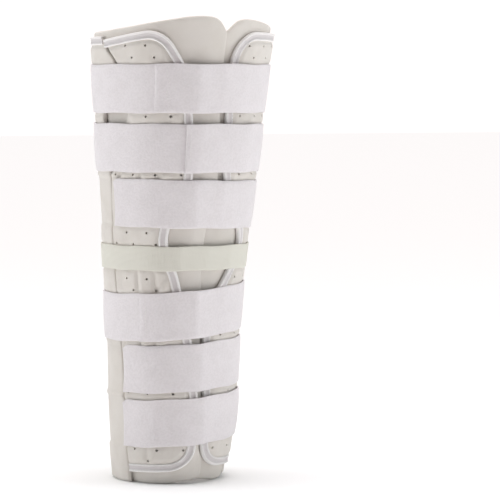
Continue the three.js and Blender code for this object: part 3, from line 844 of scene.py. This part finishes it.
def taut_path(strap):
    """The strap's distance from the inner face at any angle, drawn taut over the layers."""
    middle = HEIGHT * strap.middle
    angles = np.arange(-180.0, 180.0, PATH_TURN)
    level = strap_level(strap, angles)
    reach = 0 * angles
    for t in np.linspace(0, 1, PATH_LINES):
        z = level + strap.width * (t - 0.5)
        low, high = inner_radius(level - strap.width / 2), inner_radius(level + strap.width / 2)
        bulge = (inner_radius(z) - low * (1 - t) - high * t) * (1 + np.cos(np.radians(angles)))
        reach = np.maximum(reach, bulge + layers_under(angles, z))
    radius = inner_radius(middle) + reach
    ring = hull(np.stack([radius * np.cos(np.radians(angles)), radius * np.sin(np.radians(angles))], -1))
    turned = np.degrees(np.arctan2(ring[:, 1], ring[:, 0]))
    order = np.argsort(turned)
    ring, turned = ring[order], turned[order]
    fine = np.arange(-180.0, 180.0, FINE_TURN)
    after = np.searchsorted(turned, fine) % len(ring)
    a, b = ring[after - 1], ring[after]
    ux, uy = np.cos(np.radians(fine)), np.sin(np.radians(fine))
    dx, dy = (b - a).T
    out = (a[:, 0] * dy - a[:, 1] * dx) / (ux * dy - uy * dx)
    spread = np.ones(2 * SOFT_REACH + 1) / (2 * SOFT_REACH + 1)
    soft = np.convolve(np.concatenate([out[-SOFT_REACH:], out, out[:SOFT_REACH]]), spread, "valid")
    out = np.maximum(soft, out)
    return lambda angle: np.interp(angle, fine, out, period=360) - inner_radius(middle) + STRAP_GAP


def strap_climb(strap, angle):
    """How far the end of a strap is lifted where it lies on the strap's own start."""
    if strap.end - strap.start <= 360:
        return 0
    lap_end = strap.end - LAP_TURN
    return (STRAP + STRAP_GAP) * (1 - ease(angle, lap_end, lap_end + LAP_RAMP))


def strap_bulge(edge):
    """The crown of a strap across its width, where edge runs from -0.5 to 0.5."""
    return CROWN * (1 - (2 * edge) ** 2)


def make_strap(strap, index, sizes):
    """One strap: pile tape or elastic with soft edges, drawn round the brace."""
    name, width = strap.name, strap.width
    path = taut_path(strap)
    turn = strap.end - strap.start
    ring = turn == 360
    radius = inner_radius(HEIGHT * strap.middle)
    arc = math.radians(turn) * (radius + STRAP_MIDDLE)
    along = np.linspace(0, arc, int(arc / STRAP_STEP)) if ring else rim_steps(arc, STRAP / 2, STRAP_STEP)
    across = rim_steps(width, STRAP / 2, STRAP_STEP)
    s, t = np.meshgrid(along, across)
    angle = strap.start + turn * s / arc
    depth = np.minimum(t, width - t)
    if not ring:
        depth = np.minimum(np.minimum(s, arc - s), depth)
    half = STRAP / 2 * rounded(depth, STRAP / 2)
    inside = ease(depth, 0, STRAP)
    edge = t / width - 0.5
    wave_off = EDGE_WAVE * np.sin(np.radians(angle) * WAVES_ROUND + index) * np.abs(edge) * 2
    crown = 0 if ring else strap_bulge(edge) * inside
    for _, at, half_width, height, wander in (ridge for ridge in RIDGES if ridge[0] == name):
        aside = np.radians(angle - at) * radius - wander * np.sin(WANDER_TURN * edge + index)
        crown = crown + height * np.exp(-((aside / half_width) ** 2)) * inside
    curl = 0
    if not ring:
        curl = CORNER_LIFT * np.exp(-s / CORNER_REACH) * (2 * edge) ** 2 + END_LIFT * np.exp(-s / END_REACH)
    clip = 0
    if name in CLIPPED_STRAPS:
        clip = np.clip(CLIPPED - s, 0, 1) * (edge > 0) * (2 * edge) ** 6
    z = strap_level(strap, angle) + t - width / 2 + wave_off - clip
    seat = path(angle) + strap_climb(strap, angle) + STRAP / 2 + curl
    outer = place(angle, z, seat + half + crown)
    inner = place(angle, z, seat - half + np.minimum(crown, CROWN_LIMIT))
    slot = "knit_elastic" if width == NARROW else "loop_strap"
    uv = np.stack([s, t / width], -1)
    piece = closed_sheet(name + "_band", slot, inner, outer, uv, name)
    for _, at, wander in (seam for seam in SEAMS if seam[0] == name):
        make_seam(strap, index, at, wander, path, sizes)


def make_seam(strap, index, at, wander, path, sizes):
    """A row of stitches across a strap."""
    reach = strap.width / 2 - STITCH_END
    marks = np.arange(-reach, reach, sizes.stitch + SEAM_STITCH_GAP)

    def row(t, rise):
        edge = t / strap.width
        sway = wander * np.sin(WANDER_TURN * edge + index) / inner_radius(HEIGHT * strap.middle)
        angle = at + np.degrees(sway)
        out = path(angle) + strap_climb(strap, angle) + STRAP + strap_bulge(edge) + rise
        return place(angle, strap_level(strap, angle) + t, out)

    here, above = row(marks, SEAM_RISE), row(marks, SEAM_RISE + STITCH_OUT)
    ahead = row(marks + STITCH_AHEAD, SEAM_RISE)
    stitch_row(strap.name + "_seam", here, unit(ahead - here), unit(above - here), sizes.stitch)


class BraceSizes(bpy.types.PropertyGroup):
    """Sizes of the soft details"""

    swell: bpy.props.FloatProperty(
        name="Swell", description="How far the foam swells between straps", default=0.0012, unit="LENGTH"
    )
    hole_radius: bpy.props.FloatProperty(
        name="Hole radius", description="Radius of the air holes", default=0.0013, unit="LENGTH"
    )
    stitch: bpy.props.FloatProperty(
        name="Stitch", description="Length of one stitch", default=0.0024, unit="LENGTH"
    )


class BraceColours(bpy.types.PropertyGroup):
    """The two tones of every cloth"""

    foam: bpy.props.FloatVectorProperty(
        name="Foam cloth", description="Colour of the liner and panels", subtype="COLOR",
        default=(0.775, 0.735, 0.69),
    )
    foam_shade: bpy.props.FloatVectorProperty(
        name="Foam cloth shade", description="Its darker tone", subtype="COLOR", default=(0.70, 0.655, 0.60)
    )
    tape: bpy.props.FloatVectorProperty(
        name="Tape", description="Colour of the binding tape", subtype="COLOR", default=(0.91, 0.89, 0.88)
    )
    # Painted shade for the tape's sunken band and between its ribs; on the thread it gives random darker
    # spots
    tape_shade: bpy.props.FloatVectorProperty(
        name="Tape shade", description="Colour of its ribs", subtype="COLOR", default=(0.72, 0.68, 0.68)
    )
    strap: bpy.props.FloatVectorProperty(
        name="Strap", description="Colour of the loop straps", subtype="COLOR", default=(0.84, 0.80, 0.815)
    )
    strap_shade: bpy.props.FloatVectorProperty(
        name="Strap shade", description="Their darker tone", subtype="COLOR", default=(0.775, 0.735, 0.745)
    )
    elastic: bpy.props.FloatVectorProperty(
        name="Elastic", description="Colour of the knee strap", subtype="COLOR", default=(0.81, 0.795, 0.72)
    )
    # Painted shade in the elastic's grooves, and random darker spots
    elastic_shade: bpy.props.FloatVectorProperty(
        name="Elastic shade", description="Its darker tone", subtype="COLOR", default=(0.72, 0.70, 0.62)
    )


class BRACE_OT_materials(bpy.types.Operator):
    """Make the cloths"""

    bl_idname = "brace.materials"
    bl_label = "Cloths"

    def execute(self, context):
        make_cloths(context.scene.brace_colours)
        return {"FINISHED"}


class BRACE_OT_liner(bpy.types.Operator):
    """Make the foam liner"""

    bl_idname = "brace.liner"
    bl_label = "Liner"

    def execute(self, context):
        make_liner()
        return {"FINISHED"}


class BRACE_OT_panels(bpy.types.Operator):
    """Make the three foam panels"""

    bl_idname = "brace.panels"
    bl_label = "Panels"

    def execute(self, context):
        for panel in PANELS:
            make_panel(panel, context.scene.brace_sizes)
        return {"FINISHED"}


class BRACE_OT_bindings(bpy.types.Operator):
    """Make the binding tapes and their stitches"""

    bl_idname = "brace.bindings"
    bl_label = "Bindings"

    def execute(self, context):
        for panel in PANELS:
            make_binding(panel)
            make_stitches(panel, context.scene.brace_sizes)
        return {"FINISHED"}


class BRACE_OT_straps(bpy.types.Operator):
    """Make the loop straps and the elastic"""

    bl_idname = "brace.straps"
    bl_label = "Straps"

    def execute(self, context):
        for index, strap in enumerate(STRAPS):
            make_strap(strap, index, context.scene.brace_sizes)
        return {"FINISHED"}


# Lamps in watts and metres, and the tints of the lamps, the sky and the floor
LAMP_POWER, LAMP_SIZE, LAMP_ELEVATION, LAMP_DISTANCE = 16, 1.4, 15, 2.2
LAMP_AZIMUTHS = {"left": -118, "right": 58}
SUN_POWER, SUN_SPREAD = 3.1, 50
COOL, WARM = (0.92, 0.975, 1), (1, 0.955, 0.945)
SKY_SEEN, SKY_LIGHT = 1.08, 0.09
FLOOR_SIZE, FLOOR_ROUGHNESS = 40, 0.9
FLOOR_TINT = (0.97, 0.985, 0.99)

# The camera stands level with the top strap and looks slightly down
CAMERA_AZIMUTH = -24.3
CAMERA_DISTANCE = 2.8
CAMERA_HEIGHT = 0.419
FOCAL_PIXELS = 2623
FRAME_PIXELS = 500
AXIS_PIXEL = 183.5
HORIZON_PIXEL = 90
SENSOR = 36


def make_lamp(name, kind, power, tint):
    """Adds a lamp at the origin that shines straight down."""
    data = bpy.data.lights.new(name, kind)
    data.energy, data.color = power, tint
    lamp = bpy.data.objects.new(name, data)
    bpy.context.collection.objects.link(lamp)
    return lamp


def make_lights():
    """A broad sun from above and a soft square lamp on each side."""
    elevation = math.radians(LAMP_ELEVATION)
    for name, azimuth in LAMP_AZIMUTHS.items():
        lamp = make_lamp(name, "AREA", LAMP_POWER, COOL)
        lamp.data.size = LAMP_SIZE
        a = math.radians(azimuth)
        level = Vector((math.sin(a), -math.cos(a), 0)) * math.cos(elevation)
        back = level + Vector((0, 0, math.sin(elevation)))
        lamp.location = Vector((0, 0, HEIGHT / 2)) + back * LAMP_DISTANCE
        lamp.rotation_euler = back.to_track_quat("Z", "Y").to_euler()
    make_lamp("top", "SUN", SUN_POWER, WARM).data.angle = math.radians(SUN_SPREAD)


def make_sky(scene):
    """An even sky that looks white and gives little light."""
    world = scene.world or bpy.data.worlds.new("world")
    scene.world = world
    world.use_nodes = True
    tree = world.node_tree
    background = tree.nodes["Background"]
    seen = node(tree, "ShaderNodeLightPath", {}, output="Is Camera Ray")
    strength = seen * (SKY_SEEN - SKY_LIGHT) + SKY_LIGHT
    background.inputs["Color"].default_value = (*WARM, 1)
    tree.links.new(strength.socket, background.inputs["Strength"])


def make_floor():
    """A plain pale floor."""
    bpy.ops.mesh.primitive_plane_add(size=FLOOR_SIZE, location=(0, 0, 0))
    floor = bpy.context.object
    floor.name = "floor"
    pale = bpy.data.materials.new("floor")
    pale.use_nodes = True
    shader = pale.node_tree.nodes["Principled BSDF"]
    shader.inputs["Base Color"].default_value = (*FLOOR_TINT, 1)
    shader.inputs["Roughness"].default_value = FLOOR_ROUGHNESS
    floor.data.materials.append(pale)


def make_camera():
    """The camera, aimed so that the brace keeps its place in the frame."""
    a = math.radians(CAMERA_AZIMUTH)
    axis = Vector((0, BACK_Y - TOP_RADIUS, 0))
    right = Vector((math.cos(a), math.sin(a), 0))
    spot = axis + Vector((math.sin(a), -math.cos(a), 0)) * CAMERA_DISTANCE
    pixel = CAMERA_DISTANCE / FOCAL_PIXELS
    middle = FRAME_PIXELS / 2
    aim = axis + right * (middle - AXIS_PIXEL) * pixel
    spot.z = CAMERA_HEIGHT
    aim.z = CAMERA_HEIGHT - (middle - HORIZON_PIXEL) * pixel
    data = bpy.data.cameras.new("camera")
    data.sensor_width = SENSOR
    data.lens = FOCAL_PIXELS / FRAME_PIXELS * SENSOR
    camera = bpy.data.objects.new("camera", data)
    bpy.context.collection.objects.link(camera)
    camera.location = spot
    camera.rotation_euler = (spot - aim).to_track_quat("Z", "Y").to_euler()
    bpy.context.scene.camera = camera


class BRACE_OT_stage(bpy.types.Operator):
    """Set the floor, lights and camera"""

    bl_idname = "brace.stage"
    bl_label = "Stage"

    def execute(self, context):
        make_camera()
        make_floor()
        make_sky(context.scene)
        make_lights()
        context.scene.view_settings.view_transform = "Standard"
        return {"FINISHED"}


class BRACE_PT_panel(bpy.types.Panel):
    """Everything that makes the brace"""

    bl_label = "Brace"
    bl_idname = "BRACE_PT_panel"
    bl_space_type = "VIEW_3D"
    bl_region_type = "UI"
    bl_category = "Brace"

    def draw(self, context):
        for group in (context.scene.brace_sizes, context.scene.brace_colours):
            for key in type(group).__annotations__:
                self.layout.prop(group, key)
        for operator in OPERATORS:
            self.layout.operator(operator.bl_idname)


OPERATORS = (
    BRACE_OT_materials, BRACE_OT_liner, BRACE_OT_panels, BRACE_OT_bindings, BRACE_OT_straps, BRACE_OT_stage,
)
CLASSES = (BraceSizes, BraceColours, *OPERATORS, BRACE_PT_panel)


def register():
    for item in CLASSES:
        bpy.utils.register_class(item)
    bpy.types.Scene.brace_sizes = bpy.props.PointerProperty(type=BraceSizes)
    bpy.types.Scene.brace_colours = bpy.props.PointerProperty(type=BraceColours)


def unregister():
    del bpy.types.Scene.brace_colours
    del bpy.types.Scene.brace_sizes
    for item in reversed(CLASSES):
        bpy.utils.unregister_class(item)


def main():
    register()
    bpy.ops.brace.materials()
    bpy.ops.brace.liner()
    bpy.ops.brace.panels()
    bpy.ops.brace.bindings()
    bpy.ops.brace.straps()
    bpy.ops.brace.stage()


if __name__ == "__main__":
    main()
